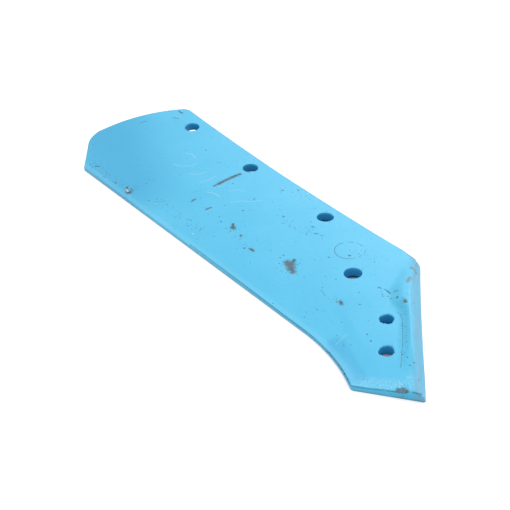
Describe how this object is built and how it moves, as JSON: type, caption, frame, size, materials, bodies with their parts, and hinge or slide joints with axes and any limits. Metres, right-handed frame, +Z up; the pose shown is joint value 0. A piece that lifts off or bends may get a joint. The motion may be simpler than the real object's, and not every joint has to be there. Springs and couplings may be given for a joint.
{
  "type": "plough share",
  "caption": "Long arched steel plough share with a raised landside ridge, a curved toe and plain bolt holes, painted light blue.",
  "frame": {"origin": "middle of the bounding box, on the ground that the share lies on", "axes": "+X along the cutting edge towards the toe, +Y from the cutting edge to the back edge, +Z up, out of the worked top face"},
  "size_m": [0.5882, 0.1674, 0.0324],
  "materials": {
    "blue_paint": "semi-gloss light blue paint, chipped, scratched and dusty"
  },
  "bodies": {
    "root": {"plough_share": "blue_paint"}
  },
  "joints": []
}
